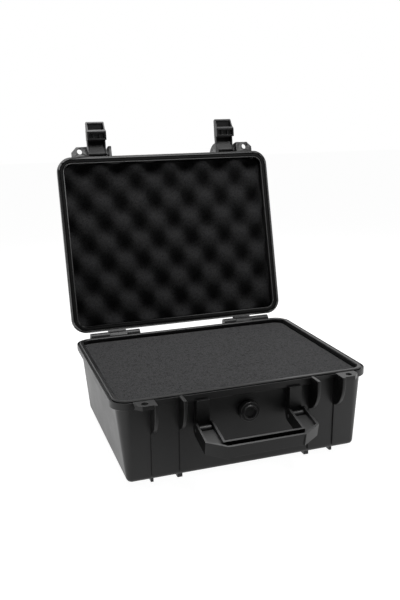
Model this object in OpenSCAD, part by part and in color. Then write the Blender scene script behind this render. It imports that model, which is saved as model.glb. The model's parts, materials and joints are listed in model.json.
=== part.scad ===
// Moulded equipment case for microphones: a tub with pick-out foam, a hinged lid with
// wavy foam, two swing latches, a folding handle and a pressure valve.
// Millimetres. X runs left to right, Y front to back, Z up. The origin is at the centre of
// the tub's underside. The lid is modelled shut and swung open, the latches and the handle
// are modelled about their own pins and swung to where the photograph shows them.

/* [Case] */
// Width over the rim, left to right
case_w = 340; // [320:1:400]
// Depth over the rim, front to back
case_d = 266; // [250:1:320]
// Height from the tub's underside to the parting plane
base_h = 108; // [100:1:140]
// Height of the lid above the parting plane
lid_h = 41; // [38:1:60]
// Wall thickness of both shells
wall = 2.8; // [2.2:0.1:3.4]
// Corner radius of the rim, seen from above
rim_r = 22; // [18:1:30]
// How far the rim flange stands out from the walls
flange_out = 5; // [4.5:0.5:7]
// Height of the flange under the parting plane
flange_h = 10; // [8:0.5:12]
// Height of the lid's flange above the parting plane
lid_flange_h = 9; // [8:0.5:11]
// How far each side wall leans in from the rim to the underside
side_lean = 10.3; // [4:0.1:14]
// How far the front and back walls lean in
front_lean = 3.4; // [2:0.1:5]
// How far the lid's walls lean in from the flange to the top
lid_lean = 4; // [2:0.5:6]
// Radius of the edges around the underside and the lid's top
edge_r = 6; // [3:0.5:8]
// Angle that the lid stands open
lid_open = 103.8; // [90:0.1:110]

/* [Rim and seal] */
// Width of the ledge outside the bead
ledge_w = 3.6; // [3:0.1:4.4]
// Depth of the drip channel in that ledge
channel_drop = 2.2; // [1:0.1:3]
// Width of the lip outside the drip channel
lip_w = 0.7; // [0.6:0.1:1.8]
// Height of the bead that presses on the seal, above the parting plane
bead_h = 0.8; // [0.4:0.1:2]
// How far that bead stands in past the wall
bead_over = 1.5; // [0.5:0.1:2]
// Depth of the seal's groove in the lid
groove_h = 5.5; // [4.5:0.1:6.5]
// Clearance of that groove beside the ledge and the wall
rim_gap = 0.5; // [0.3:0.1:0.6]
// Thickness of the ridge inside the groove
ridge_w = 1.6; // [1.2:0.1:2.2]
// Gap between the shut shells, and between pieces that pass each other
gap = 0.3; // [0.2:0.05:0.4]

/* [Foam] */
// How far the pick-out foam lies below the parting plane
foam_down = 5.7; // [4:0.1:12]
// Thickness of the bottom pad
pad_h = 12; // [8:1:20]
// Height from the parting plane to the crests of the lid foam
crest_up = 4.5; // [3:0.5:8]
// Depth of the hollows in the lid foam
wave_depth = 15; // [6:1:18]
// Distance between hollows along a row
wave_pitch = 55.4; // [40:0.1:70]
// Distance between rows of hollows
wave_row = 30.9; // [20:0.1:36]
// How far right of the middle a hollow near it lies
wave_x = -21.8; // [-28:0.1:28]
// How far behind the middle that hollow lies
wave_y = 8.1; // [-30:0.1:30]

/* [Hinges] */
// Radius of the hinge knuckles
knuckle_r = 6; // [5:0.5:7]
// Distance of the hinge axis behind the rim
hinge_back = 7.6; // [7.3:0.1:9]
// Depth of the hinge axis below the parting plane
hinge_down = 2.3; // [1:0.1:4]
// Distance from the middle to the near side of each hinge
hinge_x = 69; // [60:1:80]
// Length of each hinge
hinge_len = 76; // [70:1:84]
// Length of the base's knuckle at the near side
near_knuckle = 20; // [16:1:24]
// Length of the lid's knuckle
lid_knuckle = 26.8; // [22:0.1:30]
// Radius of every hinge and latch pin
pin_r = 2; // [1.5:0.1:2.4]

/* [Latches] */
// Distance from the middle to the centre of each latch
latch_x = 104.7; // [100:0.1:108]
// Width between the ribs beside a latch
pocket_w = 30.6; // [28:0.1:34]
// Thickness of those ribs
rib_w = 4.5; // [4:0.1:6]
// How far the base's ribs stand out from the rim
rib_out = 18; // [16.5:0.5:19]
// How far the lid's ribs stand out from the rim
lid_rib_out = 15; // [13:0.5:16]
// Distance of the latch pin in front of the rim
latch_fwd = 5.8; // [5.5:0.1:8]
// Height of the latch pin above the parting plane
latch_up = 15.8; // [15:0.1:19]
// Radius of the latch barrel
barrel_r = 3.8; // [3.4:0.1:4.4]
// Thickness of the latch plate
plate_t = 3; // [2.4:0.1:3.6]
// Thickness of the catch edge that the latch hooks under
keeper_h = 5; // [4:0.5:6]
// Length of the hook block along the latch
block_len = 15.5; // [12:0.5:16]
// How far the hook reaches under the catch edge
hook_reach = 3; // [2:0.5:3.5]
// Distance from the latch pin to the end of the finger tab
latch_len = 49.5; // [46:0.5:53]
// Angle that the latches stand out from where they close
latch_swing = 83; // [60:1:90]

/* [Padlock eyes] */
// Distance from the middle to the outer side of an eye plate
eye_plate_x = 146; // [143:0.5:148]
// Distance from the middle to the centre of a padlock hole
eye_x = 133.6; // [132:0.1:136]
// Distance of the padlock hole in front of the rim
eye_fwd = 8; // [7:0.5:9]
// Radius of the padlock hole
eye_r = 4.15; // [3:0.05:5]
// Thickness of an eye plate
eye_t = 5.5; // [4:0.5:7]

/* [Handle] */
// Width over the handle's arms
handle_w = 145.8; // [138:0.2:150]
// Width of the channel section of an arm
arm_w = 23.4; // [20:0.1:25]
// Width of the channel section of the grip
grip_w = 13; // [11:0.5:15]
// Height of the handle's section
band_h = 17.4; // [16:0.1:19]
// Height of the handle's top edge above its pins
band_up = 9.5; // [8:0.1:10]
// Wall thickness of the handle's channel
handle_wall = 3; // [2.8:0.1:4]
// Depth of the channel in the arms
arm_floor_down = 5; // [3:0.1:8]
// Distance from the handle's pins to the front of the grip
handle_len = 50.6; // [46:0.1:56]
// Distance of the handle's pins in front of the rim
handle_fwd = 8; // [7:0.5:9]
// Height of the handle's pins above the underside
handle_z = 64; // [58:0.5:68]
// Radius of a handle pin
handle_pin_r = 2.5; // [2:0.1:3]
// How far the handle droops from level
droop = 12.7; // [0:0.1:30]

/* [Pressure valve] */
// Radius of the valve's cap
cap_r = 12.8; // [12:0.1:16]
// Thickness of the cap
cap_h = 6.6; // [5:0.1:8]
// Outer radius of the raised ring on the cap's face
cap_ring_r = 8.8; // [8:0.1:10.5]
// Radius of the dish inside that ring
dish_r = 7.2; // [6:0.1:7.8]
// Depth of that dish
dish_h = 2.5; // [1.5:0.1:4]
// Height of the valve's axis above the underside
valve_z = 75.4; // [70:0.1:80]
// Radius of the valve's barrel through the wall
barrel_valve_r = 7; // [6:0.1:9]
// Radius of the cap's stem
stem_r = 3; // [2.5:0.1:4]

/* [Hidden] */
$fn = 48;

// Points in each corner of a shell's outline, less one
corner_steps = 11;
// Points in each rounded edge, less one
edge_steps = 4;
// Points along the curved edge of a rib, less one
rib_steps = 8;
// Smallest corner radius of a ring
least_r = 3;
// Overlap of ribs and plates into the wall that carries them
root = 1.2;
// Radial running clearance of a pin
run = 0.05;
// Amount that a cut runs past a face
past = 1;
// Half extents of the rim, and the insets that follow from the rim's own sizes
half_w = case_w / 2;
half_d = case_d / 2;
rim_y = -half_d;
bead_in = flange_out + wall + bead_over;
bead_soft = 1.1;
bead_foot = base_h - 3.5;
bead_fade = 1.2;
lip_soft = 0.3;
lip_top = base_h - 0.7;
flange_soft = 1;
groove_out = ledge_w - rim_gap;
groove_in = flange_out + wall + rim_gap;
ridge_in = groove_in + ridge_w;
ridge_soft = 0.4;
ridge_low = bead_h + gap;
over_groove = groove_h + flange_soft;
under_channel = base_h - channel_drop - flange_soft;
// Inset of the outer walls at a height, at the sides and at the front and back
function side_in(z) = flange_out + side_lean * (1 - z / base_h);
function front_in(z) = flange_out + front_lean * (1 - z / base_h);
function lid_in(z) = flange_out + lid_lean * max(0, z - lid_flange_h) / (lid_h - lid_flange_h);
// Foam
foam_top = base_h - foam_down;
foam_split = (wall + pad_h + foam_top) / 2;
lid_ceiling = lid_h - wall;
ceiling_soft = 2;
panel_in = 22.5;
panel_drop = 1.2;
wave_power = 1.4;
foam_cells_x = 48;
foam_cells_y = 40;
foam_even = 0.7;
// Hinges
axis_y = half_d + hinge_back;
axis_z = base_h - hinge_down;
far_knuckle_x = hinge_x + near_knuckle + lid_knuckle + 2 * gap;
hinge_end = hinge_x + hinge_len;
hinge_arm_down = 16;
hinge_arm_up = 14;
hinge_rim_down = 1;
hinge_slope = 30;
pin_end = 0.5;
// Latches
latch_y = rim_y - latch_fwd;
rib_inner = latch_x - pocket_w / 2 - rib_w;
rib_outer = latch_x + pocket_w / 2;
rib_foot = 64;
rib_straight = 9;
lid_rib_straight = 7;
lid_rib_top = 36;
eye_corner = 7.5;
eye_back = 2;
lid_eye_back = 0.2;
plate_in = 3;
plate_out = plate_in + plate_t;
plate_side = 1.9;
plate_clear = 1.2;
plate_w = pocket_w - 2 * plate_clear;
block_w = pocket_w - plate_clear;
side_h = 5.5;
side_drop = plate_in - side_h;
ramp_len = 20;
block_start = latch_up + keeper_h + gap;
block_end = block_start + block_len;
hook_down = latch_fwd + hook_reach;
hook_t = 2.6;
hook_hollow = 5;
shelf_slope = 2.7;
tab_drop = 5.5;
tip_low = 1.3;
tip_t = 2;
tip_soft = 1;
tip_wall = 1.2;
web_down = 2;
// Front ribs, runners and the guide blocks of the handle
fin_w = 3.6;
fin_out = 1.8;
fin_top = 66;
fin_in = [2.1, 2.7];
fin_x = [rib_inner + fin_in[0], rib_outer + fin_in[1]];
runner_w = [6.5, 3.5];
runner_h = 5.5;
runner_end = 14;
// Handle
handle_y = rim_y - handle_fwd;
arm_in = handle_w / 2 - arm_w;
channel_x = arm_in + handle_wall;
channel_w = arm_w - 2 * handle_wall;
side_gap = 0.5;
block_top = 100;
block_fwd = 3.4;
block_foot = 2;
knuckle_handle_r = 5.6;
arm_end_r = band_h / 2;
arm_mid_z = band_up - arm_end_r;
floor_t = 2;
chamfer_x = 23.6;
chamfer_y = 14.4;
lip_h = 1.8;
lip_over = 0.9;
lip_draft = 0.5;
knuckle_room = 0.5;
knuckle_front = 2.2;
// Valve
valve_hole_r = barrel_valve_r + run;
valve_pad_edge = 1.5;
valve_pad_r = cap_r + valve_pad_edge;
valve_pad = 1.4;
valve_face = half_d - front_in(valve_z) + valve_pad;
gasket_h = 1.2;
collar_h = 3;
nut_h = 4;
nut_r = 10.5;
nut_sides = 6;
nut_room = 2;
oring_t = 1.2;
oring_room = 0.6;
barrel_end = 1.6;
barrel_len = wall + valve_pad + nut_h + barrel_end;
knob_y = gasket_h + collar_h + gap;
cap_soft = 0.6;
cap_step = 2.2;

// Rounded rectangle of half extents hw and hd at height z, listed counterclockwise
function ring(hw, hd, r, z) = [
    for (c = [[1, 1, 0], [-1, 1, 90], [-1, -1, 180], [1, -1, 270]])
        for (i = [0 : corner_steps])
            let (a = c[2] + 90 * i / corner_steps)
            [c[0] * (hw - r) + r * cos(a), c[1] * (hd - r) + r * sin(a), z]
];

// Ring at an inset from the rim; ix at the sides, iy at the front and back
function rim_ring(ix, iy, z) = ring(half_w - ix, half_d - iy, max(least_r, rim_r - max(ix, iy)), z);

// Solid through a stack of rings, closed over its first and last ring
module loft(rings) {
    n = len(rings[0]);
    m = len(rings);
    points = [for (r = rings) each r];
    sides = [
        for (k = [0 : m - 2], i = [0 : n - 1])
            let (j = (i + 1) % n)
            [k * n + i, k * n + j, (k + 1) * n + j, (k + 1) * n + i]
    ];
    ends = [[for (i = [n - 1 : -1 : 0]) i], [for (i = [0 : n - 1]) (m - 1) * n + i]];
    polyhedron(points, [for (f = concat(sides, ends)) [for (i = [len(f) - 1 : -1 : 0]) f[i]]]);
}

// Band swept round the rim: a closed outline of [inset, height] points
module rim_band(outline) {
    n = 4 * (corner_steps + 1);
    m = len(outline);
    points = [for (p = outline) each rim_ring(p[0], p[0], p[1])];
    faces = [
        for (k = [0 : m - 1], i = [0 : n - 1])
            let (j = (i + 1) % n, l = (k + 1) % m)
            [k * n + i, l * n + i, l * n + j, k * n + j]
    ];
    polyhedron(points, faces);
}

// Outline in Y and Z pushed along X from x
module along_x(x, w, outline) {
    translate([x, 0, 0])
        rotate([90, 0, 90])
            linear_extrude(w) polygon(outline);
}

// Round bar along X
module bar_x(x, w, y, z, r) {
    translate([x, y, z])
        rotate([0, 90, 0])
            cylinder(h = w, r = r);
}

// Anything on the right, and its mirror image on the left
module both_sides() {
    children();
    mirror([1, 0, 0]) children();
}

// Swing shut-lid geometry to the open lid
module opened() {
    translate([0, axis_y, axis_z])
        rotate([-lid_open, 0, 0])
            translate([0, -axis_y, -axis_z]) children();
}

// Quarter ellipse from [y0 - ry, z0] to [y0, z0 + rz], for the curved edge of a rib
function quarter(y0, z0, ry, rz) = [
    for (i = [0 : rib_steps])
    let (a = 90 * i / rib_steps)
    [y0 - ry * cos(a), z0 + rz * sin(a)]
];

// ---------------------------------------------------------------- base

// Ring on the inside of the tub's walls
function tub_ring(z) = rim_ring(side_in(z) + wall, front_in(z) + wall, z);

// Rings of the tub, from its underside round the rim and down inside to its floor
function tub_rings() = concat(
    [
        for (i = [0 : edge_steps])
            let (a = 90 * i / edge_steps, z = edge_r * (1 - cos(a)), b = edge_r * (1 - sin(a)))
            rim_ring(side_in(z) + b, front_in(z) + b, z)
    ],
    [
        rim_ring(side_in(base_h - flange_h), front_in(base_h - flange_h), base_h - flange_h),
        rim_ring(flange_soft, flange_soft, base_h - flange_h),
        rim_ring(0, 0, base_h - flange_h + flange_soft),
        rim_ring(0, 0, lip_top - lip_soft),
        rim_ring(lip_soft, lip_soft, lip_top),
        rim_ring(lip_w, lip_w, lip_top),
        rim_ring(lip_w + lip_soft, lip_w + lip_soft, base_h - channel_drop),
        rim_ring(ledge_w, ledge_w, base_h - channel_drop),
        rim_ring(ledge_w, ledge_w, base_h + bead_h - bead_soft),
        rim_ring(ledge_w + bead_soft, ledge_w + bead_soft, base_h + bead_h),
        rim_ring(bead_in - bead_soft, bead_in - bead_soft, base_h + bead_h),
        rim_ring(bead_in, bead_in, base_h + bead_h - bead_soft),
        rim_ring(bead_in, bead_in, bead_foot),
        tub_ring(bead_foot - bead_fade),
        tub_ring(wall)
    ]
);

// Outline of a latch rib on the base, back edge inside the front wall
function base_rib() = concat(
    [[rim_y + root, base_h], [rim_y - rib_out, base_h]],
    [
        for (p = quarter(0, 0, rib_out + front_in(rib_foot), base_h - rib_straight - rib_foot))
            [rim_y + front_in(rib_foot) + p[0], base_h - rib_straight - p[1]]
    ],
    [
        [rim_y + front_in(rib_foot) + root, rib_foot],
        [rim_y + front_in(base_h) + root, under_channel],
        [rim_y + root, under_channel]
    ]
);

// Plate with a chamfered corner round a padlock hole, seen from above
module eye_plate(out) {
    polygon([
        [rib_outer, rim_y + root],
        [rib_outer, rim_y - out],
        [eye_plate_x - eye_corner, rim_y - out],
        [eye_plate_x, rim_y - out + eye_corner],
        [eye_plate_x, rim_y + root]
    ]);
}

// Knuckle of a hinge with the arm that carries it on a shell: rim_z is the arm's height at the
// rim, wall_z where it ends on the wall and foot_z how far it goes down along the rim
module knuckle(x, w, rim_z, foot_z, wall_z) {
    wall_y = half_d - flange_out - root;
    tangent_z = axis_z + sign(wall_z - rim_z) * knuckle_r * sin(hinge_slope);
    bar_x(x, w, axis_y, axis_z, knuckle_r);
    along_x(x, w, [
        [half_d - root, rim_z],
        [axis_y, rim_z],
        [axis_y + knuckle_r * cos(hinge_slope), tangent_z],
        [wall_y, wall_z],
        [wall_y, foot_z],
        [half_d - root, foot_z]
    ]);
}

module latch_ribs() {
    for (x = [rib_inner, rib_outer]) along_x(x, rib_w, base_rib());
}

module front_fins() {
    for (x = fin_x)
        along_x(x - fin_w / 2, fin_w, [
            [rim_y + front_in(edge_r) + root, edge_r],
            [rim_y + front_in(edge_r) - fin_out, edge_r],
            [rim_y + front_in(fin_top) - fin_out, fin_top],
            [rim_y + front_in(fin_top) + root, fin_top]
        ]);
}

module runners() {
    for (k = [0, 1])
        translate([fin_x[k] - runner_w[k] / 2, -half_d + runner_end, -runner_h])
            cube([runner_w[k], case_d - 2 * runner_end, runner_h + root]);
}

// Block that carries a handle pin, with a round knuckle at its lower end
module handle_block() {
    x = channel_x + side_gap;
    w = channel_w - 2 * side_gap;
    back = rim_y + front_in(handle_z) + root;
    bar_x(x, w, handle_y, handle_z, knuckle_handle_r);
    along_x(x, w, [
        [back, block_top],
        [handle_y + block_fwd, block_top],
        [handle_y + block_fwd, handle_z],
        [handle_y + knuckle_handle_r - gap, handle_z + 2 * gap],
        [back, handle_z + block_foot]
    ]);
}

module base_features() {
    latch_ribs();
    front_fins();
    runners();
    handle_block();
    translate([0, 0, base_h - eye_t]) linear_extrude(eye_t) eye_plate(rib_out - eye_back);
    for (k = [[hinge_x, near_knuckle], [far_knuckle_x, hinge_end - far_knuckle_x]])
        knuckle(k[0], k[1], base_h - hinge_rim_down, under_channel, axis_z - hinge_arm_down);
}

// Space cleared out of the flange between the latch ribs, so that a thin catch edge is left
module keeper_cut() {
    depth = flange_h - keeper_h + past;
    translate([latch_x - pocket_w / 2, rim_y - past, base_h - keeper_h - depth])
        cube([pocket_w, front_in(base_h - keeper_h) + past, depth]);
}

module valve_axis() {
    translate([0, -valve_face, valve_z]) rotate([90, 0, 0]) children();
}

module base_shell() {
    color("#2b2b2d")
    difference() {
        union() {
            loft(tub_rings());
            both_sides() base_features();
            valve_axis() translate([0, 0, -valve_pad - root]) cylinder(h = valve_pad + root, r = valve_pad_r);
        }
        both_sides() {
            keeper_cut();
            translate([eye_x, rim_y - eye_fwd, base_h - eye_t - past])
                cylinder(h = eye_t + 2 * past, r = eye_r);
            bar_x(hinge_x - past, hinge_len + 2 * past, axis_y, axis_z, pin_r);
            bar_x(channel_x, channel_w, handle_y, handle_z, handle_pin_r);
        }
        valve_axis() translate([0, 0, -barrel_len]) cylinder(h = barrel_len + past, r = valve_hole_r);
    }
}

// Slab of pick-out foam between two heights, clear of the tub's walls
module foam_slab(low, high) {
    inset = wall + gap;
    loft([
        rim_ring(side_in(low) + inset, front_in(low) + inset, low),
        rim_ring(side_in(high) + inset, front_in(high) + inset, high)
    ]);
}

// Room that the valve's nut takes out of the foam
module valve_room() {
    valve_axis() translate([0, 0, -barrel_len - gap]) cylinder(h = barrel_len, r = nut_r + nut_room);
}

module foam_bottom_pad() {
    color("#3a3a3c") foam_slab(wall + gap, wall + pad_h);
}

module foam_layer_lower() {
    color("#404042") foam_slab(wall + pad_h + gap, foam_split);
}

module foam_layer_upper() {
    color("#454547")
    difference() {
        foam_slab(foam_split + gap, foam_top);
        valve_room();
    }
}

module hinge_pin(x) {
    color("#8c8c90") bar_x(x, hinge_len - 2 * pin_end, axis_y, axis_z, pin_r);
}

module hinge_pin_right() { hinge_pin(hinge_x + pin_end); }

module hinge_pin_left() { hinge_pin(-hinge_end + pin_end); }

module handle_pin(x) {
    color("#8c8c90") bar_x(x, arm_w - 2 * gap, handle_y, handle_z, handle_pin_r);
}

module handle_pin_right() { handle_pin(arm_in + gap); }

module handle_pin_left() { handle_pin(gap - handle_w / 2); }

// ---------------------------------------------------------------- pressure valve

module valve_body() {
    color("#262628")
    valve_axis()
    difference() {
        union() {
            translate([0, 0, gasket_h]) cylinder(h = collar_h, r = cap_r);
            translate([0, 0, -barrel_len]) cylinder(h = barrel_len + gasket_h + past, r = barrel_valve_r);
        }
        translate([0, 0, -barrel_len - past]) cylinder(h = barrel_len + knob_y + 2 * past, r = stem_r + run);
        translate([0, 0, gasket_h + collar_h - oring_t])
            cylinder(h = oring_t + past, r = stem_r + oring_t + oring_room);
    }
}

module valve_gasket() {
    color("#161616")
    valve_axis()
    difference() {
        cylinder(h = gasket_h, r = cap_r - cap_soft);
        translate([0, 0, -past]) cylinder(h = gasket_h + 2 * past, r = valve_hole_r);
    }
}

module valve_nut() {
    color("#262628")
    valve_axis() translate([0, 0, -valve_pad - wall - nut_h - gap])
    difference() {
        cylinder(h = nut_h, r = nut_r, $fn = nut_sides);
        translate([0, 0, -past]) cylinder(h = nut_h + 2 * past, r = barrel_valve_r);
    }
}

module knob_oring() {
    color("#161616")
    valve_axis() translate([0, 0, gasket_h + collar_h - oring_t / 2])
        rotate_extrude() translate([stem_r + oring_t / 2 + gap, 0]) circle(r = oring_t / 2, $fn = $fn / 2);
}

module purge_knob() {
    face = cap_h - cap_step;
    color("#2c2c2e")
    valve_axis() {
        translate([0, 0, knob_y])
            rotate_extrude() polygon([
                [0, 0],
                [cap_r, 0],
                [cap_r, face - cap_soft],
                [cap_r - cap_soft, face],
                [cap_ring_r + cap_soft, face],
                [cap_ring_r, cap_h - cap_soft],
                [cap_ring_r - cap_soft, cap_h],
                [dish_r, cap_h],
                [dish_r - cap_soft, cap_h - dish_h],
                [0, cap_h - dish_h]
            ]);
        translate([0, 0, -barrel_len]) cylinder(h = barrel_len + knob_y + past, r = stem_r);
    }
}

// ---------------------------------------------------------------- lid, modelled shut

// Rings of the lid, from its ceiling down inside, round the groove and the lip, and up to its top
function lid_rings() = [
    for (s = concat(
        [
            [lid_in(lid_ceiling) + wall + ceiling_soft, lid_ceiling],
            [lid_in(lid_flange_h) + wall, lid_flange_h + ceiling_soft],
            [ridge_in, groove_h],
            [ridge_in, ridge_low + ridge_soft],
            [ridge_in - ridge_soft, ridge_low],
            [groove_in + ridge_soft, ridge_low],
            [groove_in, ridge_low + ridge_soft],
            [groove_in, groove_h],
            [groove_out, groove_h],
            [groove_out, gap],
            [lip_soft, gap],
            [0, gap + lip_soft],
            [0, lid_flange_h - flange_soft],
            [flange_soft, lid_flange_h],
            [lid_in(lid_flange_h), lid_flange_h]
        ],
        [
            for (i = [edge_steps : -1 : 0])
                let (a = 90 * i / edge_steps, z = lid_h - edge_r * (1 - cos(a)))
                [lid_in(z) + edge_r * (1 - sin(a)), z]
        ],
        [[panel_in, lid_h], [panel_in + panel_drop, lid_h - panel_drop]]
    )) rim_ring(s[0], s[0], base_h + s[1])
];

// Outline of a latch rib on the lid, back edge inside its front wall
function lid_rib() = concat(
    [[rim_y + root, base_h + gap], [rim_y - lid_rib_out, base_h + gap]],
    [
        for (p = quarter(0, 0, lid_rib_out + flange_out, lid_rib_top - lid_rib_straight))
            [rim_y + flange_out + p[0], base_h + lid_rib_straight + p[1]]
    ],
    [
        [rim_y + lid_in(lid_rib_top) + root, base_h + lid_rib_top],
        [rim_y + flange_out + root, base_h + lid_flange_h],
        [rim_y + flange_out + root, base_h + over_groove],
        [rim_y + root, base_h + over_groove]
    ]
);

module lid_features() {
    near = hinge_x + near_knuckle + gap;
    for (x = [rib_inner, rib_outer]) along_x(x, rib_w, lid_rib());
    translate([0, 0, base_h + gap]) linear_extrude(eye_t) eye_plate(lid_rib_out - lid_eye_back);
    knuckle(near, lid_knuckle, base_h + gap, base_h + over_groove, axis_z + hinge_arm_up);
}

module lid_shell() {
    color("#2b2b2d")
    opened()
    difference() {
        union() {
            loft(lid_rings());
            both_sides() lid_features();
        }
        both_sides() {
            translate([eye_x, rim_y - eye_fwd, base_h + gap - past])
                cylinder(h = eye_t + 2 * past, r = eye_r);
            bar_x(hinge_x, hinge_len, axis_y, axis_z, pin_r + run);
            bar_x(rib_inner - past, pocket_w + 2 * rib_w + 2 * past, latch_y, base_h + latch_up, pin_r);
        }
    }
}

module lid_seal() {
    low = base_h + ridge_low;
    high = base_h + groove_h - gap;
    color("#1c1c1c")
    opened()
    rim_band([
        [groove_out + gap, low],
        [groove_in - gap, low],
        [groove_in - gap, high],
        [groove_out + gap, high]
    ]);
}

// Height of the lid foam's wavy face above the parting plane: hollows in staggered rows
function wave(x, y) =
    let (u = cos(360 * (x - wave_x) / wave_pitch) * cos(180 * (y - wave_y) / wave_row))
    crest_up + wave_depth * pow((1 + u) / 2, wave_power);

// Half width of the foam at a depth y, following the rounded corners
function foam_half(y, hw, hd, r) =
    abs(y) <= hd - r ? hw : hw - r + sqrt(max(0, r * r - pow(abs(y) - hd + r, 2)));

// Rows of [x, y] points that fill a rounded outline, with columns + 1 points in each row
function foam_grid(hw, hd, r, columns, rows) = [
    for (j = [0 : rows])
        let (t = 2 * j / rows - 1, y = hd * (foam_even * t + (1 - foam_even) * sin(90 * t)))
        for (i = [0 : columns]) [foam_half(y, hw, hd, r) * (2 * i / columns - 1), y]
];

// Numbers of the points on the edge of such a grid, counterclockwise
function grid_edge(columns, rows) = concat(
    [for (i = [0 : columns - 1]) i],
    [for (j = [0 : rows - 1]) j * (columns + 1) + columns],
    [for (i = [columns : -1 : 1]) rows * (columns + 1) + i],
    [for (j = [rows : -1 : 1]) j * (columns + 1)]
);

module lid_foam() {
    nx = foam_cells_x;
    ny = foam_cells_y;
    near_in = ridge_in + gap;
    back_in = lid_in(lid_ceiling) + wall + ceiling_soft + gap;
    face = foam_grid(half_w - near_in, half_d - near_in, rim_r - ridge_in, nx, ny);
    back = foam_grid(half_w - back_in, half_d - back_in, rim_r - ridge_in, nx, ny);
    border = grid_edge(nx, ny);
    rim = len(border);
    count = len(face);
    cells = [for (j = [0 : ny - 1], i = [0 : nx - 1]) j * (nx + 1) + i];
    points = concat(
        [for (p = face) [p[0], p[1], base_h + wave(p[0], p[1])]],
        [for (b = border) [back[b][0], back[b][1], base_h + lid_ceiling - gap]]
    );
    color("#333335")
    opened()
    polyhedron(
        points,
        concat(
            [for (c = cells) each [[c, c + 1, c + nx + 2], [c, c + nx + 2, c + nx + 1]]],
            [
                for (i = [0 : rim - 1])
                    let (a = border[i], b = border[(i + 1) % rim], c = count + (i + 1) % rim)
                    each [[a, c, b], [a, count + i, c]]
            ],
            [[for (i = [rim - 1 : -1 : 0]) count + i]]
        )
    );
}

module latch_pin(x) {
    length = pocket_w + 2 * rib_w - 2 * pin_end;
    color("#8c8c90") opened() bar_x(x - length / 2, length, latch_y, base_h + latch_up, pin_r);
}

module latch_pin_right() { latch_pin(latch_x); }

module latch_pin_left() { latch_pin(-latch_x); }

// ---------------------------------------------------------------- latches
// A latch is drawn about its pin: Y runs from the pin to the finger tab, and Z away from the
// case. plate_in is the gap between the pin's centre line and the plate.

module latch_side(w) {
    linear_extrude(w) polygon([
        [0, side_drop],
        [block_start, side_drop],
        [block_start, -hook_down],
        [block_end - shelf_slope, -hook_down],
        [block_end, -tab_drop],
        [latch_len - tip_t, tip_low],
        [latch_len, plate_in],
        [latch_len - tip_soft, plate_out],
        [ramp_len, plate_out],
        [0, barrel_r]
    ]);
}

// The latch's plate, thicker toward its barrel and turned in at its tip
module latch_plate() {
    rotate([90, 0, 90])
        linear_extrude(plate_w) polygon([
            [0, -barrel_r],
            [ramp_len, plate_in],
            [latch_len - tip_t - tip_wall, plate_in],
            [latch_len - tip_t - tip_wall, tip_low],
            [latch_len - tip_t, tip_low],
            [latch_len, plate_in],
            [latch_len - tip_soft, plate_out],
            [ramp_len, plate_out],
            [0, barrel_r]
        ]);
}

// Hook block with a shallow hollow between two lips, and two webs in the hollow
module hook_block() {
    rotate([90, 0, 90])
        linear_extrude(block_w) polygon([
            [block_start, -hook_down],
            [block_start + hook_t, -hook_down],
            [block_start + hook_t, hook_hollow - hook_down],
            [block_end - shelf_slope - hook_t, hook_hollow - hook_down],
            [block_end - shelf_slope - hook_t, -hook_down],
            [block_end - shelf_slope, -hook_down],
            [block_end, -tab_drop],
            [block_end, plate_in + root],
            [block_start, plate_in + root]
        ]);
    for (x = [0, block_w - plate_side])
        translate([x, block_start, -hook_down])
            cube([plate_side, block_len - shelf_slope, hook_hollow + root]);
    for (x = [block_w / 3, 2 * block_w / 3])
        translate([x - plate_side / 2, block_start + hook_t / 2, web_down - hook_down])
            cube([plate_side, block_len - shelf_slope - hook_t, hook_hollow - web_down + root]);
}

module latch_shape() {
    half = plate_w / 2;
    difference() {
        union() {
            translate([-half, 0, 0]) rotate([0, 90, 0]) cylinder(h = plate_w, r = barrel_r);
            translate([-half, 0, 0]) latch_plate();
            for (x = [-half, half - plate_side])
                translate([x, 0, 0]) rotate([90, 0, 90]) latch_side(plate_side);
            translate([-block_w / 2, 0, 0]) hook_block();
        }
        translate([-half - past, 0, 0]) rotate([0, 90, 0]) cylinder(h = plate_w + 2 * past, r = pin_r + run);
    }
}

module latch(x) {
    color("#262628")
    opened()
        translate([x, latch_y, base_h + latch_up])
            rotate([90 - latch_swing, 0, 0])
                rotate([0, 0, 180]) latch_shape();
}

module latch_right() { latch(latch_x); }

module latch_left() { latch(-latch_x); }

// ---------------------------------------------------------------- handle
// The handle is drawn level, with its pins at the origin and its grip toward -Y. Its channel is
// open upward: shallow in the arms and deep in the grip.

// Outline of the handle seen from above, its front corners chamfered
module handle_plan() {
    x = handle_w / 2;
    polygon([
        [x, 0],
        [-x, 0],
        [-x, chamfer_y - handle_len],
        [chamfer_x - x, -handle_len],
        [x - chamfer_x, -handle_len],
        [x, chamfer_y - handle_len]
    ]);
}

module handle_body() {
    grip_in = handle_len - grip_w;
    straight = handle_w / 2 - chamfer_x - past;
    difference() {
        translate([0, 0, band_up - band_h]) linear_extrude(band_h) handle_plan();
        translate([-arm_in, -grip_in, -band_h]) cube([2 * arm_in, grip_in + past, 2 * band_h]);
        along_x(-straight, 2 * straight, [
            [-handle_len - past, band_up - lip_h],
            [lip_over - handle_len, band_up - lip_h],
            [lip_over + lip_draft - handle_len, band_up - band_h - past],
            [-handle_len - past, band_up - band_h - past]
        ]);
    }
    for (x = [arm_in, -handle_w / 2]) bar_x(x, arm_w, 0, arm_mid_z, arm_end_r);
}

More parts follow.
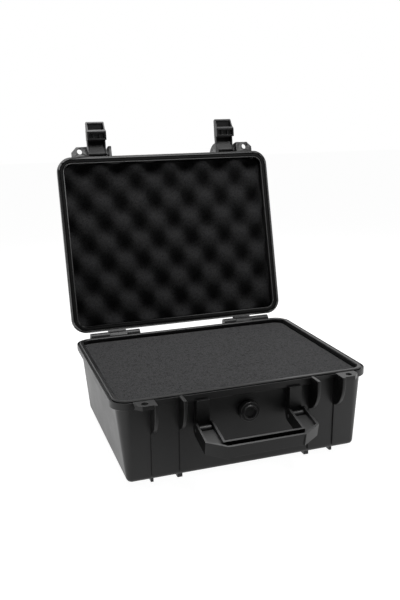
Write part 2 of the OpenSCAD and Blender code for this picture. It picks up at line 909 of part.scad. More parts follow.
// Channel of the right arm: shallow, along the arm and round the chamfered corner, and open right
// through round the knuckle of the base
module arm_hollow() {
    x = handle_w / 2;
    side = sqrt(pow(chamfer_x, 2) + pow(chamfer_y, 2));
    room = knuckle_handle_r + knuckle_room;
    inner = grip_w - handle_wall - handle_len;
    translate([0, 0, band_up - arm_floor_down])
        linear_extrude(arm_floor_down + past) polygon([
            [channel_x, 0],
            [channel_x, inner],
            [arm_in - handle_wall, inner],
            [arm_in - handle_wall, handle_wall - handle_len],
            [x - chamfer_x + handle_wall * (chamfer_x - side) / chamfer_y, handle_wall - handle_len],
            [x - handle_wall, chamfer_y - handle_len + handle_wall * (side - chamfer_y) / chamfer_x],
            [x - handle_wall, 0]
        ]);
    bar_x(channel_x, channel_w, 0, 0, room);
    translate([channel_x, -room - knuckle_front, 0]) cube([channel_w, room + knuckle_front + past, band_h]);
    translate([channel_x, 0, -band_h]) cube([channel_w, arm_end_r + past, 2 * band_h]);
}

module grip_hollow() {
    translate([-arm_in - past, handle_wall - handle_len, floor_t + band_up - band_h])
        cube([2 * arm_in + 2 * past, grip_w - 2 * handle_wall, band_h]);
}

module handle() {
    color("#2c2c2e")
    translate([0, handle_y, handle_z])
        rotate([droop, 0, 0])
            difference() {
                handle_body();
                both_sides() arm_hollow();
                grip_hollow();
                both_sides() bar_x(arm_in - past, arm_w + 2 * past, 0, 0, handle_pin_r + run);
            }
}

base_shell();
foam_bottom_pad();
foam_layer_lower();
foam_layer_upper();
hinge_pin_left();
hinge_pin_right();
handle_pin_left();
handle_pin_right();
valve_body();
valve_gasket();
valve_nut();
purge_knob();
knob_oring();
lid_shell();
lid_seal();
lid_foam();
latch_pin_left();
latch_pin_right();
latch_left();
latch_right();
handle();
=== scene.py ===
"""Looks of the moulded microphone case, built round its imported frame. Metres, row frame."""

import json
import math

import bmesh
import bpy
from mathutils import Matrix, Vector, noise


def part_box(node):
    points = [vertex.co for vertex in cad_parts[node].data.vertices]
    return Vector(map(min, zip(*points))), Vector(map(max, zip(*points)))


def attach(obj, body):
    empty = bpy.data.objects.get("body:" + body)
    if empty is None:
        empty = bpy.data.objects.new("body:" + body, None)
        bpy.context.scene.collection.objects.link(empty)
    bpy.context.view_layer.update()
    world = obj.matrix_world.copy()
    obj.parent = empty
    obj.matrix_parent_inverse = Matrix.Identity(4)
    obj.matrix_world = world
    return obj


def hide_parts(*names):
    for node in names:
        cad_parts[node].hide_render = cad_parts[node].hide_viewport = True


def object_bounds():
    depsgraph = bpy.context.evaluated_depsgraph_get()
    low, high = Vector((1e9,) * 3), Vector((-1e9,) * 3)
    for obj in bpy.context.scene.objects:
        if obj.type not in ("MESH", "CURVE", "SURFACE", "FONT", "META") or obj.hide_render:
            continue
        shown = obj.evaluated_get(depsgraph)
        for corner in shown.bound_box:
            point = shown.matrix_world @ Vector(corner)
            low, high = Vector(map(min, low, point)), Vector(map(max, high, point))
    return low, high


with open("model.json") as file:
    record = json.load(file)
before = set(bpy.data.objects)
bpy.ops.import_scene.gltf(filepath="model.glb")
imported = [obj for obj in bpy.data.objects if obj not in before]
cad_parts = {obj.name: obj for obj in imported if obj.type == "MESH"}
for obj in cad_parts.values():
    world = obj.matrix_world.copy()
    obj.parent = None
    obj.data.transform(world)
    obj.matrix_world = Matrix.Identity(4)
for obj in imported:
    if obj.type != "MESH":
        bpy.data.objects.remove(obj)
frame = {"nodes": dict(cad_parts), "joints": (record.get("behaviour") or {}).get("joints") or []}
cad_box = [list(corner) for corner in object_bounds()]
scene = bpy.context.scene

MM = 0.001


# ---------------------------------------------------------------- sizes from the frame

def box_mm(node):
    """The low and high corners of a node's box, in millimetres."""
    return [Vector(corner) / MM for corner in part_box(node)]


def middle_mm(node):
    low, high = box_mm(node)
    return (low + high) / 2


def joint_named(name):
    return next(joint for joint in frame["joints"] if joint["name"] == name)


LID_HINGE = joint_named("lid_hinge")
HINGE_AT = Vector(LID_HINGE["pos_m"]) / MM
LID_SWING = math.radians(LID_HINGE["range_deg"][1])

# From the lid shut to the lid as it stands open
OPENED = (Matrix.Translation(HINGE_AT) @ Matrix.Rotation(-LID_SWING, 4, "X")
          @ Matrix.Translation(-HINGE_AT))
SHUT = OPENED.inverted()

# The pin of the left latch with the lid shut, and the height of the valve's middle
LATCH_PIN_AT = SHUT @ (Vector(joint_named("left_latch_hinge")["pos_m"]) / MM)
VALVE_Z = middle_mm("valve_body").z

# Half the width over the rim, and in metres the plane that the runners stand on
HALF_W = box_mm("base_shell")[1].x
FLOOR_Z = cad_box[0][2]


# ---------------------------------------------------------------- sizes shared with the part

# In millimetres, with the lid shut; the insets are taken from the outside of the rim.
# The rim: half its depth, its corner radius and the steps round a corner
HALF_D, RIM_R, CORNER_STEPS = 133.0, 22.0, 11

# The parting plane, the gap between pieces and the lid's ceiling above the parting plane
BASE_H, GAP, LID_CEILING = 108.0, 0.3, 38.2

# The sides of the latch ribs, and a latch's tip: how far it is from the pin, and half its width
RIB_SIDES = (84.9, 89.4, 120.0, 124.5)
LATCH_TIP_R, LATCH_TIP_HALF = 46.0, 13.5

# The seal's groove, inset from one to the other, and the seal's heights in it
GROOVE_OUT, GROOVE_IN, SEAL_LOW, SEAL_HIGH = 3.1, 8.3, 109.1, 113.2

# Insets of the lid's foam at its face and at its back
RIDGE_IN, LID_BACK_IN = 9.9, 13.75

# The waves of the lid's foam: height of the crests, depth, shape, pitches and where a hollow lies
CREST_UP, WAVE_DEPTH, WAVE_POWER = 4.5, 15.0, 1.4
WAVE_PITCH, WAVE_ROW, WAVE_X, WAVE_Y = 55.4, 30.9, -21.8, 8.1

# Room for the valve's nut in the front of the foam, with a slope round it
NUT_ROOM_R, NUT_DEPTH, NUT_SLOPE = 14.0, 7.0, 6.0


# ---------------------------------------------------------------- small helpers

def new_object(name, mesh):
    obj = bpy.data.objects.new(name, mesh)
    scene.collection.objects.link(obj)
    return obj


def link_nodes(tree, *pairs):
    for output, socket in pairs:
        tree.links.new(output, socket)


def add_node(tree, kind, **values):
    node = tree.nodes.new(kind)
    for name, value in values.items():
        setattr(node, name, value)
    return node


def object_coords(tree):
    return add_node(tree, "ShaderNodeTexCoord").outputs["Object"]


def noise_node(tree, coords, scale, detail=2.0, roughness=0.5):
    node = add_node(tree, "ShaderNodeTexNoise")
    node.inputs["Scale"].default_value = scale
    node.inputs["Detail"].default_value = detail
    node.inputs["Roughness"].default_value = roughness
    link_nodes(tree, (coords, node.inputs["Vector"]))
    return node.outputs["Fac"]


def ramp_node(tree, value, low, high, at=(0.3, 0.7)):
    node = add_node(tree, "ShaderNodeMapRange")
    node.inputs["From Min"].default_value = at[0]
    node.inputs["From Max"].default_value = at[1]
    node.inputs["To Min"].default_value = low
    node.inputs["To Max"].default_value = high
    link_nodes(tree, (value, node.inputs["Value"]))
    return node.outputs["Result"]


# ---------------------------------------------------------------- camera and light

CAMERA_AT = Vector((-317.9, -898.7, 434.8)) * MM
CAMERA_YAW = math.radians(18.52)
CAMERA_PITCH = math.radians(-14.69)
CAMERA_ROLL = math.radians(-1.01)
CAMERA_LENS = 64.88
SENSOR_WIDTH = 36
NEAREST_SEEN = 0.01

WHITE = (1, 1, 1, 1)

# How bright the world is where it only lights, and how bright gloss sees the camera's side
WORLD_LEVEL = 0.03
FRONT_LEVEL = 0.06

# The camera's side of the world: the way to its middle, and how far from it the dark and the fade reach
WORLD_DARK_AT, WORLD_DARK_R, WORLD_WHITE_R = (0.1, -1, 0), 0.8, 1.4

# The camera's side of the floor, on a floor squeezed from front to back so that the dark reaches far
FLOOR_SQUEEZE = (1, 0.3, 1)
FLOOR_DARK_AT, FLOOR_DARK_R, FLOOR_WHITE_R = (0, -0.48, 0), 0.36, 0.48

FLOOR_HALF = 6.0
FLOOR_GLOW = 0.97
FLOOR_GREY = (0.35, 0.35, 0.35, 1)

# Each lamp: where it hangs, what it points at, its two sides, and its power in watts
SOFTBOXES = {
    "top_softbox": ((0.05, 0.08, 0.85), (0.02, 0.05, 0.1), (0.9, 0.4), 5.5),
    "back_softbox": ((0.1, 0.9, 0.9), (0, 0, 0.1), (1.0, 0.5), 3.0),
    "right_softbox": ((1.0, -0.25, 0.3), (0.1, -0.1, 0.06), (0.4, 0.4), 0.7),
}


def make_camera():
    forward = Vector((math.sin(CAMERA_YAW) * math.cos(CAMERA_PITCH),
                      math.cos(CAMERA_YAW) * math.cos(CAMERA_PITCH),
                      math.sin(CAMERA_PITCH)))
    level = Vector((math.cos(CAMERA_YAW), -math.sin(CAMERA_YAW), 0))
    upright = level.cross(forward)
    right = math.cos(CAMERA_ROLL) * level + math.sin(CAMERA_ROLL) * upright
    up = math.cos(CAMERA_ROLL) * upright - math.sin(CAMERA_ROLL) * level
    data = bpy.data.cameras.new("camera")
    data.sensor_fit = "HORIZONTAL"
    data.sensor_width = SENSOR_WIDTH
    data.lens = CAMERA_LENS
    data.clip_start = NEAREST_SEEN
    camera = new_object("camera", data)
    turn = Matrix((right, up, -forward)).transposed().to_4x4()
    camera.matrix_world = Matrix.Translation(CAMERA_AT) @ turn
    scene.camera = camera


def seen_ray(tree, place, dark_at, dark_r, white_r):
    """How bright a ray sees the white studio: 1 straight from the camera, and 0 where it only lights.

    In gloss and glass it is FRONT_LEVEL within dark_r of dark_at, and rises to 1 at white_r."""
    path = add_node(tree, "ShaderNodeLightPath")
    mirrored = add_node(tree, "ShaderNodeMath", operation="MAXIMUM")
    dimmed = add_node(tree, "ShaderNodeMath", operation="MULTIPLY")
    both = add_node(tree, "ShaderNodeMath", operation="MAXIMUM")
    away = add_node(tree, "ShaderNodeVectorMath", operation="DISTANCE")
    away.inputs[1].default_value = dark_at
    level = ramp_node(tree, away.outputs["Value"], FRONT_LEVEL, 1, (dark_r, white_r))
    link_nodes(tree,
               (place, away.inputs[0]),
               (path.outputs["Is Glossy Ray"], mirrored.inputs[0]),
               (path.outputs["Is Transmission Ray"], mirrored.inputs[1]),
               (mirrored.outputs[0], dimmed.inputs[0]),
               (level, dimmed.inputs[1]),
               (path.outputs["Is Camera Ray"], both.inputs[0]),
               (dimmed.outputs[0], both.inputs[1]))
    return both.outputs[0]


def white_background(tree, strength):
    node = add_node(tree, "ShaderNodeBackground")
    node.inputs["Color"].default_value = WHITE
    node.inputs["Strength"].default_value = strength
    return node.outputs[0]


def make_world():
    world = bpy.data.worlds.new("studio")
    scene.world = world
    world.use_nodes = True
    tree = world.node_tree
    tree.nodes.clear()
    mix = add_node(tree, "ShaderNodeMixShader")
    out = add_node(tree, "ShaderNodeOutputWorld")
    way = add_node(tree, "ShaderNodeTexCoord").outputs["Generated"]
    link_nodes(tree,
               (seen_ray(tree, way, WORLD_DARK_AT, WORLD_DARK_R, WORLD_WHITE_R), mix.inputs[0]),
               (white_background(tree, WORLD_LEVEL), mix.inputs[1]),
               (white_background(tree, 1), mix.inputs[2]),
               (mix.outputs[0], out.inputs["Surface"]))


def floor_material():
    """Pale grey where light falls on it, and white where the camera and gloss see it."""
    mat = bpy.data.materials.new("floor_white")
    mat.use_nodes = True
    tree = mat.node_tree
    tree.nodes.clear()
    lit = add_node(tree, "ShaderNodeBsdfDiffuse")
    lit.inputs["Color"].default_value = FLOOR_GREY
    glow = add_node(tree, "ShaderNodeEmission")
    glow.inputs["Color"].default_value = WHITE
    level = add_node(tree, "ShaderNodeMath", operation="MULTIPLY")
    level.inputs[1].default_value = FLOOR_GLOW
    squeezed = add_node(tree, "ShaderNodeVectorMath", operation="MULTIPLY")
    squeezed.inputs[1].default_value = FLOOR_SQUEEZE
    seen = seen_ray(tree, squeezed.outputs[0], FLOOR_DARK_AT, FLOOR_DARK_R, FLOOR_WHITE_R)
    add = add_node(tree, "ShaderNodeAddShader")
    out = add_node(tree, "ShaderNodeOutputMaterial")
    link_nodes(tree,
               (object_coords(tree), squeezed.inputs[0]),
               (seen, level.inputs[0]),
               (level.outputs[0], glow.inputs["Strength"]),
               (lit.outputs[0], add.inputs[0]),
               (glow.outputs[0], add.inputs[1]),
               (add.outputs[0], out.inputs["Surface"]))
    return mat


def make_floor():
    mesh = bpy.data.meshes.new("floor")
    corners = [(-1, -1), (1, -1), (1, 1), (-1, 1)]
    mesh.from_pydata([(x * FLOOR_HALF, y * FLOOR_HALF, FLOOR_Z) for x, y in corners], [], [(0, 1, 2, 3)])
    mesh.materials.append(floor_material())
    floor = new_object("floor", mesh)


def make_lights():
    for name, (at, toward, size, power) in SOFTBOXES.items():
        data = bpy.data.lights.new(name, "AREA")
        data.shape = "RECTANGLE"
        data.size, data.size_y = size
        data.energy = power
        turn = (Vector(toward) - Vector(at)).to_track_quat("-Z", "Y").to_matrix().to_4x4()
        new_object(name, data).matrix_world = Matrix.Translation(at) @ turn


# ---------------------------------------------------------------- materials

# Each colour runs from its dark to its light in patches
PLASTIC_DARK, PLASTIC_LIGHT = (0.003, 0.003, 0.0032), (0.0055, 0.0055, 0.0057)
# The paler colour of rounded edges: rubbed wear, and a painted highlight where the edges catch the light
PLASTIC_WORN_AND_HIGHLIGHT = (0.01, 0.01, 0.0105)
BASE_FOAM_DARK, BASE_FOAM_LIGHT = (0.017, 0.017, 0.0177), (0.077, 0.077, 0.0785)
# The lid's foam: the same foam as the base's, painted darker as painted shade
LID_FOAM_SHADED_DARK, LID_FOAM_SHADED_LIGHT = (0.007, 0.007, 0.0073), (0.03, 0.03, 0.031)
RUBBER_DARK, RUBBER_LIGHT = (0.006, 0.006, 0.006), (0.012, 0.012, 0.012)
STEEL_DARK, STEEL_LIGHT = (0.38, 0.38, 0.39), (0.52, 0.52, 0.53)

# How fine the patches are, to the metre
MARBLE_SCALE, GRAIN_SCALE = 14, 900
CELL_SCALE, CLOUD_SCALE = 900, 260
BLOOM_SCALE, SCRATCH_SCALE = 120, 700

# Gloss, and how far it varies over the plastic
PLASTIC_IOR, ROUGH_SPREAD = 1.5, 0.05
RUBBER_ROUGH, STEEL_ROUGH, FOAM_ROUGH = (0.55, 0.75), (0.3, 0.45), 0.95
RUBBER_SPECULAR, FOAM_SPECULAR = 0.15, 0.1

# How deep the grain and the foam's cells look, and where the painted shade in the cells' pits turns from
# dark to light
GRAIN_DEPTH = 0.08 * MM
CELL_DEPTH, CELL_BUMP, CELL_SHADE_FADE = 0.5 * MM, 0.5, (0.6, 1.15)

# How much of the paler edge colour shows on rounded edges: partly rubbed wear, partly a painted highlight
WORN_HIGHLIGHT_LEAST, WORN_HIGHLIGHT_MOST = 0.1, 0.8


def color_mix(tree, factor, first, second):
    node = add_node(tree, "ShaderNodeMix", data_type="RGBA")
    node.inputs["A"].default_value = (*first, 1)
    node.inputs["B"].default_value = (*second, 1)
    link_nodes(tree, (factor, node.inputs["Factor"]))
    return node.outputs["Result"]


def worn_and_highlight_mix(tree, patches, color):
    """Edges that the pieces mark as rounded, painted a little paler in patches: partly rubbed wear,
    partly a painted highlight along the edges.
    """
    mark = add_node(tree, "ShaderNodeAttribute", attribute_name="worn_and_highlight")
    amount = add_node(tree, "ShaderNodeMath", operation="MULTIPLY")
    node = add_node(tree, "ShaderNodeMix", data_type="RGBA")
    node.inputs["B"].default_value = (*PLASTIC_WORN_AND_HIGHLIGHT, 1)
    link_nodes(tree,
               (mark.outputs["Fac"], amount.inputs[0]),
               (ramp_node(tree, patches, WORN_HIGHLIGHT_LEAST, WORN_HIGHLIGHT_MOST), amount.inputs[1]),
               (amount.outputs[0], node.inputs["Factor"]),
               (color, node.inputs["A"]))
    return node.outputs["Result"]


def start_material(name):
    mat = bpy.data.materials.new(name)
    mat.use_nodes = True
    tree = mat.node_tree
    return mat, tree, tree.nodes["Principled BSDF"]


def add_bump(tree, bsdf, height, strength, depth):
    bump = add_node(tree, "ShaderNodeBump")
    bump.inputs["Strength"].default_value = strength
    bump.inputs["Distance"].default_value = depth
    link_nodes(tree,
               (height, bump.inputs["Height"]),
               (bump.outputs["Normal"], bsdf.inputs["Normal"]))


def plastic_material(name, rough, grain):
    """Satin moulded plastic: a fine moulded grain, with faint marbling and uneven gloss."""
    mat, tree, bsdf = start_material(name)
    coords = object_coords(tree)
    marble = noise_node(tree, coords, MARBLE_SCALE, detail=4, roughness=0.6)
    fine = noise_node(tree, coords, GRAIN_SCALE, roughness=0.6)
    color = color_mix(tree, marble, PLASTIC_DARK, PLASTIC_LIGHT)
    gloss = ramp_node(tree, marble, rough - ROUGH_SPREAD, rough + ROUGH_SPREAD)
    link_nodes(tree,
               (worn_and_highlight_mix(tree, marble, color), bsdf.inputs["Base Color"]),
               (gloss, bsdf.inputs["Roughness"]))
    add_bump(tree, bsdf, fine, grain, GRAIN_DEPTH)
    bsdf.inputs["IOR"].default_value = PLASTIC_IOR
    return mat


def foam_material(name, dark, light):
    """Open-cell foam in a soft matt face, painted darker where its face lies lower: painted shade in the
    pits of its cells and patches.
    """
    mat, tree, bsdf = start_material(name)
    coords = object_coords(tree)
    cells = add_node(tree, "ShaderNodeTexVoronoi")
    cells.inputs["Scale"].default_value = CELL_SCALE
    cloud = noise_node(tree, coords, CLOUD_SCALE, detail=3, roughness=0.65)
    height = add_node(tree, "ShaderNodeMath", operation="ADD")
    link_nodes(tree,
               (coords, cells.inputs["Vector"]),
               (cells.outputs["Distance"], height.inputs[0]),
               (cloud, height.inputs[1]))
    # Painted shade: the colour is darker where the cells and patches lie lower
    shade = ramp_node(tree, height.outputs[0], 0, 1, CELL_SHADE_FADE)
    link_nodes(tree, (color_mix(tree, shade, dark, light), bsdf.inputs["Base Color"]))
    add_bump(tree, bsdf, height.outputs[0], CELL_BUMP, CELL_DEPTH)
    bsdf.inputs["Roughness"].default_value = FOAM_ROUGH
    bsdf.inputs["Specular IOR Level"].default_value = FOAM_SPECULAR
    return mat


def patchy_material(name, scale, detail, dark, light, rough):
    """Colour and gloss that vary together in patches."""
    mat, tree, bsdf = start_material(name)
    patches = noise_node(tree, object_coords(tree), scale, detail=detail)
    link_nodes(tree,
               (color_mix(tree, patches, dark, light), bsdf.inputs["Base Color"]),
               (ramp_node(tree, patches, *rough), bsdf.inputs["Roughness"]))
    return mat, bsdf


def rubber_material():
    mat, bsdf = patchy_material("black_rubber", BLOOM_SCALE, detail=3, dark=RUBBER_DARK,
                                light=RUBBER_LIGHT, rough=RUBBER_ROUGH)
    bsdf.inputs["Specular IOR Level"].default_value = RUBBER_SPECULAR
    return mat


def steel_material():
    mat, bsdf = patchy_material("pin_steel", SCRATCH_SCALE, detail=2, dark=STEEL_DARK,
                                light=STEEL_LIGHT, rough=STEEL_ROUGH)
    bsdf.inputs["Metallic"].default_value = 1
    return mat


def make_materials():
    return {
        "shell": plastic_material("shell_plastic", rough=0.4, grain=0.25),
        "handle": plastic_material("handle_plastic", rough=0.38, grain=0.2),
        "latch": plastic_material("latch_plastic", rough=0.42, grain=0.15),
        "valve": plastic_material("valve_plastic", rough=0.35, grain=0.1),
        "foam": foam_material("base_foam", BASE_FOAM_DARK, BASE_FOAM_LIGHT),
        "wavy": foam_material("lid_foam", LID_FOAM_SHADED_DARK, LID_FOAM_SHADED_LIGHT),
        "rubber": rubber_material(),
        "steel": steel_material(),
    }


# ---------------------------------------------------------------- moulded pieces

# How far the edges of each piece are rounded, in millimetres
SHELL_EDGE, HANDLE_EDGE, LATCH_EDGE, PIN_EDGE = 0.35, 0.5, 0.35, 0.3
COLLAR_EDGE, NUT_EDGE, KNOB_EDGE = 0.2, 0.3, 0.25
BASE_RIB_EDGE, LID_RIB_EDGE, LATCH_TIP_EDGE = 1.0, 1.7, 1.4
EDGE_SEGMENTS, WIDE_SEGMENTS = 2, 4

# Edges that turn more than this are rounded, and faces that turn less than the second are joined
SHARP_ANGLE, FLAT_ANGLE = math.radians(28), math.radians(0.4)

# Points this close, in metres, are one point
WELD = 1e-6

# A face or an edge lies along an axis above the first share of 1, and across it below the second
ALONG, ACROSS = 0.95, 0.2
TIP_ALONG = 0.85

# How near an edge is to a rib's side, how far it stays from the pin, and where the ribs begin
RIB_NEAR, PIN_ROOM, RIB_FRONT = 0.2, 3.0, HALF_D + 1


def coat(node, mat):
    mesh = frame["nodes"][node].data
    mesh.materials.clear()
    mesh.materials.append(mat)


def finish_piece(bm, node, mat, body, weighted=True):
    """Turn a bmesh into the smooth-shaded piece that stands for a node."""
    for face in bm.faces:
        face.smooth = True
    mesh = bpy.data.meshes.new(node + "_piece")
    bm.to_mesh(mesh)
    bm.free()
    mesh.materials.clear()
    mesh.materials.append(mat)
    piece = new_object(node + "_piece", mesh)
    if weighted:
        normals = piece.modifiers.new("normals", "WEIGHTED_NORMAL")
        normals.keep_sharp = True
    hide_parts(node)
    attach(piece, body)
    return piece


def bevel(bm, edges, width, segments):
    """Round edges, and mark what is rounded so that a material can paint it paler, as wear and as a
    painted highlight.
    """
    worn_and_highlight = bm.loops.layers.float.get("worn_and_highlight") or bm.loops.layers.float.new("worn_and_highlight")
    made = bmesh.ops.bevel(bm, geom=edges, offset=width * MM, offset_type="OFFSET", segments=segments,
                           profile=0.5, affect="EDGES", clamp_overlap=True)
    for face in made["faces"]:
        for loop in face.loops:
            loop[worn_and_highlight] = 1.0


def moulded(node, width, mat, body, wide_edge=None, wide=0.0):
    """The node's own solid with its edges rounded as a mould rounds them; it stands for the node.

    wide_edge picks the edges that are rounded more, by wide."""
    bm = bmesh.new()
    bm.from_mesh(frame["nodes"][node].data)
    bmesh.ops.remove_doubles(bm, verts=bm.verts, dist=WELD)
    bmesh.ops.dissolve_limit(bm, angle_limit=FLAT_ANGLE, verts=bm.verts, edges=bm.edges)
    if wide_edge:
        chosen = [e for e in bm.edges if len(e.link_faces) == 2 and wide_edge(e)]
        bevel(bm, chosen, wide, WIDE_SEGMENTS)
    sharp = [e for e in bm.edges if len(e.link_faces) == 2 and e.calc_face_angle(0) > SHARP_ANGLE]
    bevel(bm, sharp, width, EDGE_SEGMENTS)
    finish_piece(bm, node, mat, body)


def middle_of(edge):
    return (edge.verts[0].co + edge.verts[1].co) / 2 / MM


def from_latch_pin(place):
    """How far a place, with the lid shut, lies from the axis of the latches' pins."""
    return math.hypot(place.y - LATCH_PIN_AT.y, place.z - LATCH_PIN_AT.z)


def rib_edge(edge, to_shut=Matrix()):
    """Whether an edge runs along the outside of a latch rib, away from its pin hole."""
    sides = sorted(abs(face.normal.x) for face in edge.link_faces)
    middle = to_shut @ middle_of(edge)
    return (edge.is_convex and sides[0] < ACROSS and sides[1] > ALONG
            and middle.y < -RIB_FRONT and from_latch_pin(middle) > PIN_ROOM
            and min(abs(abs(middle.x) - side) for side in RIB_SIDES) < RIB_NEAR)


def lid_rib_edge(edge):
    return rib_edge(edge, SHUT)


def latch_tip_edge(edge):
    """Whether an edge is a corner of a latch's finger tab, seen from the front."""
    middle = SHUT @ middle_of(edge)
    along = (edge.verts[1].co - edge.verts[0].co).normalized()
    return (edge.is_convex and from_latch_pin(middle) > LATCH_TIP_R and abs(along.y) > TIP_ALONG
            and abs(abs(middle.x) - abs(LATCH_PIN_AT.x)) > LATCH_TIP_HALF)


# ---------------------------------------------------------------- foam and seal

# Edge radius and grid of each foam, in millimetres
TOP_SOFT, LAYER_SOFT, BASE_STEP = 1.6, 0.8, 4.5
WAVE_SOFT, WAVE_STEP = 1.0, 2.6

# Where the grid's lines lie on a soft edge, as turns round it, and the rows down a side
EDGE_TURNS = (0, 25, 45, 65, 90)
SIDE_ROWS = 8

# The unevenness of a cut face: how wide and how high, and how far it lies under the flat face
UNEVEN_SIZE, UNEVEN_HIGH, UNEVEN_SINK = 24.0, 0.22, 0.1

# How far the lid's foam stays off the ridge, and the band at a foam's foot that gives its size
FOAM_CLEAR, FOOT_BAND = 0.05, 0.1

# The seal's section: its points, how square it is, and how deep the bead dents it
SEAL_POINTS, SEAL_SQUARE, SEAL_DENT = 16, 0.6, 0.25


def inside_by(x, y, half, radius):
    """How far a point lies inside a rounded rectangle."""
    dx = abs(x) - half[0] + radius
    dy = abs(y) - half[1] + radius
    return radius - math.hypot(max(dx, 0), max(dy, 0)) - min(max(dx, dy), 0)


def half_at(y, half, radius):
    """Half the width of a rounded rectangle at y."""
    over = max(0.0, abs(y) - half[1] + radius)
    return half[0] - radius + math.sqrt(max(0.0, radius * radius - over * over))


def grid_lines(half, soft, count):
    """Places across a width: close together over the soft edges, with count even steps between them."""
    edge = [soft * (1 - math.cos(math.radians(turn))) for turn in EDGE_TURNS]
    inner = [2 * (half - soft) * i / count - (half - soft) for i in range(1, count)]
    return [e - half for e in edge] + inner + [half - e for e in reversed(edge)]


def foam_face(bm, face, out, half, radius, soft, step):
    """The gridded face, with its edges rounded off by soft. Returns its rows of points.

    The narrowest row's number of steps serves every row, so that the rows match."""
    across = round(2 * (half[0] - soft) / step) + 2
    columns = round(across * (1 - (radius + soft) / half[0]))
    rows = []
    for y in grid_lines(half[1], soft, round(2 * (half[1] - soft) / step)):
        row = []
        for x in grid_lines(half_at(y, half, radius), soft, columns):
            deep = max(0.0, soft - inside_by(x, y, half, radius))
            drop = soft - math.sqrt(max(0.0, soft * soft - deep * deep))
            row.append(bm.verts.new((x, y, face(x, y) - out * drop)))
        rows.append(row)
    for low, high in zip(rows, rows[1:]):
        for i in range(len(low) - 1):
            bm.faces.new((low[i], low[i + 1], high[i + 1], high[i]))
    return rows


def foam_sides(bm, rows, half, back_half, back_z, dent):
    """Sides of several rows from the border of the face to the back, and the flat back itself."""
    border = (rows[0][:-1] + [row[-1] for row in rows[:-1]] + rows[-1][:0:-1]
              + [row[0] for row in rows[:0:-1]])
    loop = border
    for k in range(1, SIDE_ROWS + 1):
        t = k / SIDE_ROWS
        below = []
        for vert in border:
            x = vert.co.x * (1 + t * (back_half[0] / half[0] - 1))
            y = vert.co.y * (1 + t * (back_half[1] / half[1] - 1))
            z = vert.co.z + t * (back_z - vert.co.z)
            below.append(bm.verts.new((x, y + (dent(x, y, z) if dent else 0.0), z)))
        for i in range(len(loop)):
            j = (i + 1) % len(loop)
            bm.faces.new((loop[i], below[i], below[j], loop[j]))
        loop = below
    bm.faces.new(loop)


def foam_block(face, back_z, half, back_half, radius, soft, step, place=Matrix(), dent=None):
    """A block of foam between a face and a flat back.

    face gives the height of the face at x and y, place takes millimetres to the frame, and dent
    moves a point of the sides inward."""
    out = 1 if face(0, 0) > back_z else -1
    bm = bmesh.new()
    rows = foam_face(bm, face, out, half, radius, soft, step)
    foam_sides(bm, rows, half, back_half, back_z, dent)
    bmesh.ops.recalc_face_normals(bm, faces=bm.faces)
    bmesh.ops.transform(bm, matrix=Matrix.Scale(MM, 4) @ place, verts=bm.verts)
    return bm


def uneven(x, y, z):
    """The slight unevenness of a cut foam face."""
    return UNEVEN_HIGH * noise.noise((x / UNEVEN_SIZE, y / UNEVEN_SIZE, z))


def nut_dent(x, y, z):
    """Room in the front of the foam for the valve's nut."""
    away = math.hypot(x, z - VALVE_Z)
    near = min(1.0, max(0.0, (NUT_ROOM_R + NUT_SLOPE - away) / NUT_SLOPE))
    return NUT_DEPTH * near if y < 0 else 0.0


def base_foam(node, mat, soft, dent=None):
    """A layer of the base's foam, as wide at its top and at its foot as its node."""
    low, high = box_mm(node)
    verts = [vert.co / MM for vert in frame["nodes"][node].data.vertices]
    foot = [vert for vert in verts if vert.z < low.z + FOOT_BAND]
    half = (high.x, high.y)
    back_half = (max(vert.x for vert in foot), max(vert.y for vert in foot))

    def top(x, y):
        return high.z + min(0.0, uneven(x, y, high.z) - UNEVEN_SINK)

    bm = foam_block(top, low.z, half, back_half, RIM_R - (HALF_W - half[0]), soft, BASE_STEP, dent=dent)
    piece = finish_piece(bm, node, mat, "base", weighted=False)


def wave(x, y):
    """Height of the lid's foam, with the lid shut: hollows in staggered rows between soft crests."""
    turn = math.cos(2 * math.pi * (x - WAVE_X) / WAVE_PITCH) * math.cos(math.pi * (y - WAVE_Y) / WAVE_ROW)
    return BASE_H + CREST_UP + WAVE_DEPTH * ((1 + turn) / 2) ** WAVE_POWER + uneven(x, y, 0.0)


def wavy_foam(mat):
    """The lid's foam, which fills the lid from inside the ridge to the ceiling."""
    near = RIDGE_IN + FOAM_CLEAR
    half = (HALF_W - near, HALF_D - near)
    back_half = (HALF_W - LID_BACK_IN, HALF_D - LID_BACK_IN)
    bm = foam_block(wave, BASE_H + LID_CEILING - GAP, half, back_half, RIM_R - RIDGE_IN,
                    WAVE_SOFT, WAVE_STEP, OPENED)
    piece = finish_piece(bm, "lid_foam", mat, "lid", weighted=False)


def rim_loop(inset, height):
    """Points round the rim at an inset, as the part lists them."""
    radius = RIM_R - inset
    loop = []
    for sx, sy, start in ((1, 1, 0), (-1, 1, 90), (-1, -1, 180), (1, -1, 270)):
        for i in range(CORNER_STEPS + 1):
            turn = math.radians(start + 90 * i / CORNER_STEPS)
            loop.append(Vector((sx * (HALF_W - inset - radius) + radius * math.cos(turn),
                                sy * (HALF_D - inset - radius) + radius * math.sin(turn), height)))
    return loop


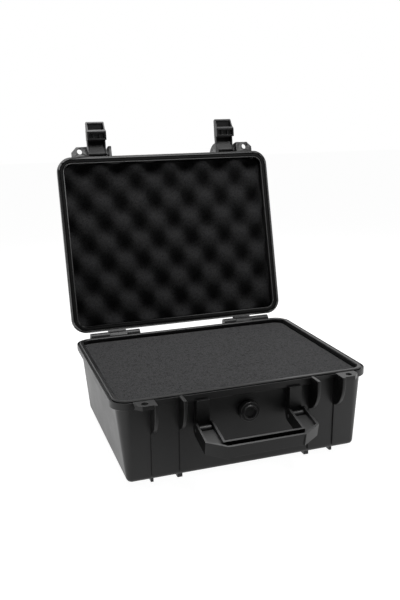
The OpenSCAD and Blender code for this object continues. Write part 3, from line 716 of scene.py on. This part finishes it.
def seal_section():
    """Insets and heights round the seal: soft and square, dented below where the bead presses."""
    wide = (GROOVE_IN - GROOVE_OUT) / 2 - GAP
    tall = (SEAL_HIGH - SEAL_LOW) / 2
    mid_in, mid_z = (GROOVE_IN + GROOVE_OUT) / 2, (SEAL_HIGH + SEAL_LOW) / 2
    section = []
    for k in range(SEAL_POINTS):
        turn = 2 * math.pi * k / SEAL_POINTS
        across = math.copysign(abs(math.cos(turn)) ** SEAL_SQUARE, math.cos(turn))
        upward = math.copysign(abs(math.sin(turn)) ** SEAL_SQUARE, math.sin(turn))
        dent = SEAL_DENT * (1 - abs(across)) if upward < 0 else 0.0
        section.append((mid_in + wide * across, mid_z + tall * upward + dent))
    return section


def rubber_seal(mat):
    """The ring in the lid's groove: the seal's section carried round the rim."""
    bm = bmesh.new()
    rings = []
    for inset, height in seal_section():
        rings.append([bm.verts.new(OPENED @ point) for point in rim_loop(inset, height)])
    for ring, after in zip(rings, rings[1:] + rings[:1]):
        for i in range(len(ring)):
            j = (i + 1) % len(ring)
            bm.faces.new((ring[i], ring[j], after[j], after[i]))
    bmesh.ops.recalc_face_normals(bm, faces=bm.faces)
    bmesh.ops.scale(bm, vec=(MM, MM, MM), verts=bm.verts)
    finish_piece(bm, "lid_seal", mat, "lid", weighted=False)


# ---------------------------------------------------------------- the scene

make_camera()
make_world()
make_floor()
make_lights()
mats = make_materials()
moulded("base_shell", SHELL_EDGE, mats["shell"], "base", rib_edge, BASE_RIB_EDGE)
moulded("lid_shell", SHELL_EDGE, mats["shell"], "lid", lid_rib_edge, LID_RIB_EDGE)
moulded("handle", HANDLE_EDGE, mats["handle"], "grip")
for side in ("left", "right"):
    moulded(f"latch_{side}", LATCH_EDGE, mats["latch"], f"{side}_latch",
            latch_tip_edge, LATCH_TIP_EDGE)
base_foam("foam_bottom_pad", mats["foam"], LAYER_SOFT)
base_foam("foam_layer_lower", mats["foam"], LAYER_SOFT)
base_foam("foam_layer_upper", mats["foam"], TOP_SOFT, nut_dent)
wavy_foam(mats["wavy"])
rubber_seal(mats["rubber"])
moulded("valve_body", COLLAR_EDGE, mats["valve"], "base")
moulded("valve_nut", NUT_EDGE, mats["valve"], "base")
moulded("purge_knob", KNOB_EDGE, mats["valve"], "knob")
coat("valve_gasket", mats["rubber"])
coat("knob_oring", mats["rubber"])
for pin, body in (("hinge_pin", "base"), ("handle_pin", "base"), ("latch_pin", "lid")):
    for side in ("left", "right"):
        moulded(f"{pin}_{side}", PIN_EDGE, mats["steel"], body)

scene.view_settings.view_transform = "Standard"
